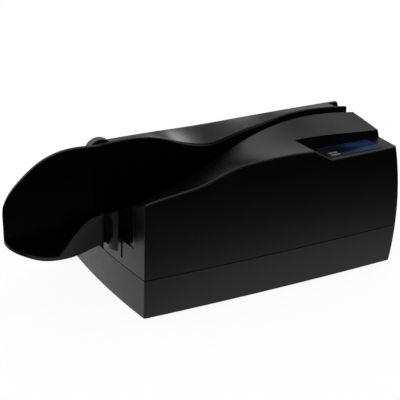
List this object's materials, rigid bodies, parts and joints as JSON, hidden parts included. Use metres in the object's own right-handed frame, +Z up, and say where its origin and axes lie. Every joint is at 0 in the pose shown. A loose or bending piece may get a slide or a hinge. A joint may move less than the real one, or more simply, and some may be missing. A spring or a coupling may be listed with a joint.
{
  "type": "cheque scanner",
  "caption": "Desk-top cheque scanner with a swept entry wing, an upright document track and a hinged rear cover over its roller drive.",
  "frame": {"origin": "middle of the whole object's footprint, wing included, on the desk plane under the rubber feet", "axes": "+X along the document's travel, from the entry wing to the exit; +Y from the front to the back; +Z up"},
  "size_m": [0.258, 0.1154, 0.101],
  "materials": {
    "base_plastic": "fine-grained black ABS",
    "shell_plastic": "semi-gloss black ABS",
    "cover_plastic": "semi-gloss black ABS",
    "guide_plastic": "semi-gloss black ABS",
    "chassis_plastic": "moulded dark grey acetal",
    "steel": "bright steel",
    "spring_steel": "spring wire",
    "bush": "sintered bronze",
    "motor_can": "zinc-plated can",
    "pulley": "natural acetal",
    "belt": "black neoprene belt",
    "head_metal": "polished mu-metal head",
    "sensor_housing": "black housing",
    "sensor_glass": "clear glass",
    "board": "green solder mask",
    "component": "black epoxy",
    "socket_metal": "tin-plated shell",
    "panel_blue": "glossy blue overlay",
    "light_pipe": "milky light pipe",
    "foot_rubber": "soft black rubber",
    "roller_rubber": "ground dark rubber",
    "platen_rubber": "white silicone",
    "pinch_plastic": "white acetal"
  },
  "bodies": {
    "base": {"lower_housing": "base_plastic", "front_housing": "shell_plastic", "track_wall": "shell_plastic", "document_guide": "guide_plastic", "track_deck": "chassis_plastic", "shaft_bushes": "bush", "drive_motor": "motor_can", "drive_belt": "belt", "head_bracket": "steel", "head_springs": "spring_steel", "line_sensor": "sensor_housing", "sensor_glass": "sensor_glass", "sensor_bracket": "steel", "document_sensors": "sensor_housing", "main_board": "board", "board_components": "component", "usb_socket": "socket_metal", "power_jack": "component", "status_panel": "panel_blue", "indicator_windows": "light_pipe", "status_board": "board", "rubber_feet": "foot_rubber", "base_screws": "steel", "entry_pinch_pin": "steel", "entry_pinch_spring": "spring_steel", "exit_pinch_pin": "steel", "exit_pinch_spring": "spring_steel"},
    "cover": {"rear_cover": "cover_plastic", "hinge_pins": "steel"},
    "read_head": {"magnetic_head": "head_metal", "head_carrier": "chassis_plastic"},
    "motor_rotor": {"motor_shaft": "steel", "motor_pulley": "pulley"},
    "entry_drive": {"entry_shaft": "steel", "entry_roller": "roller_rubber", "entry_pulley": "pulley"},
    "platen_drive": {"platen_shaft": "steel", "platen_roller": "platen_rubber", "platen_pulley": "pulley"},
    "exit_drive": {"exit_shaft": "steel", "exit_roller": "roller_rubber", "exit_pulley": "pulley"},
    "entry_lever": {"entry_pinch_arm": "chassis_plastic", "entry_pinch_axle": "steel"},
    "entry_pinch": {"entry_pinch_roller": "pinch_plastic"},
    "exit_lever": {"exit_pinch_arm": "chassis_plastic", "exit_pinch_axle": "steel"},
    "exit_pinch": {"exit_pinch_roller": "pinch_plastic"}
  },
  "joints": [
    {"name": "cover_hinge", "type": "hinge", "parent": "base", "child": "cover", "pos_m": [0.02651, 0.0526, 0.03], "axis": [-1, 0, 0], "range_deg": [0, 80]},
    {"name": "entry_drive_spin", "type": "hinge", "parent": "base", "child": "entry_drive", "pos_m": [-0.02449, 0.01035, 0.04], "axis": [0, 0, 1], "continuous": true},
    {"name": "platen_spin", "type": "hinge", "parent": "base", "child": "platen_drive", "pos_m": [0.05951, 0.0082, 0.04], "axis": [0, 0, 1], "continuous": true},
    {"name": "exit_drive_spin", "type": "hinge", "parent": "base", "child": "exit_drive", "pos_m": [0.09151, 0.01035, 0.04], "axis": [0, 0, 1], "continuous": true},
    {"name": "motor_spin", "type": "hinge", "parent": "base", "child": "motor_rotor", "pos_m": [0.01751, 0.0197, 0.03], "axis": [0, 0, 1], "continuous": true},
    {"name": "head_slide", "type": "slide", "parent": "base", "child": "read_head", "axis": [0, -1, 0], "range_m": [0, 0.0012], "stiffness_N_per_m": 300, "springref_m": -0.002},
    {"name": "entry_lever_swing", "type": "hinge", "parent": "base", "child": "entry_lever", "pos_m": [-0.04149, -0.00745, 0.045], "axis": [0, 0, -1], "range_deg": [0, 3], "stiffness_Nm_per_rad": 0.05, "springref_deg": -6.88},
    {"name": "entry_pinch_spin", "type": "hinge", "parent": "entry_lever", "child": "entry_pinch", "pos_m": [-0.02449, -0.00195, 0.045], "axis": [0, 0, 1], "continuous": true},
    {"name": "exit_lever_swing", "type": "hinge", "parent": "base", "child": "exit_lever", "pos_m": [0.07451, -0.00745, 0.045], "axis": [0, 0, -1], "range_deg": [0, 3], "stiffness_Nm_per_rad": 0.05, "springref_deg": -6.88},
    {"name": "exit_pinch_spin", "type": "hinge", "parent": "exit_lever", "child": "exit_pinch", "pos_m": [0.09151, -0.00195, 0.045], "axis": [0, 0, 1], "continuous": true}
  ],
  "couplings": [
    {"joint": "platen_spin", "follows": "entry_drive_spin", "ratio": 1},
    {"joint": "exit_drive_spin", "follows": "entry_drive_spin", "ratio": 1},
    {"joint": "motor_spin", "follows": "entry_drive_spin", "ratio": 1.6},
    {"joint": "entry_pinch_spin", "follows": "entry_drive_spin", "ratio": -1.4},
    {"joint": "exit_pinch_spin", "follows": "entry_drive_spin", "ratio": -1.4}
  ]
}
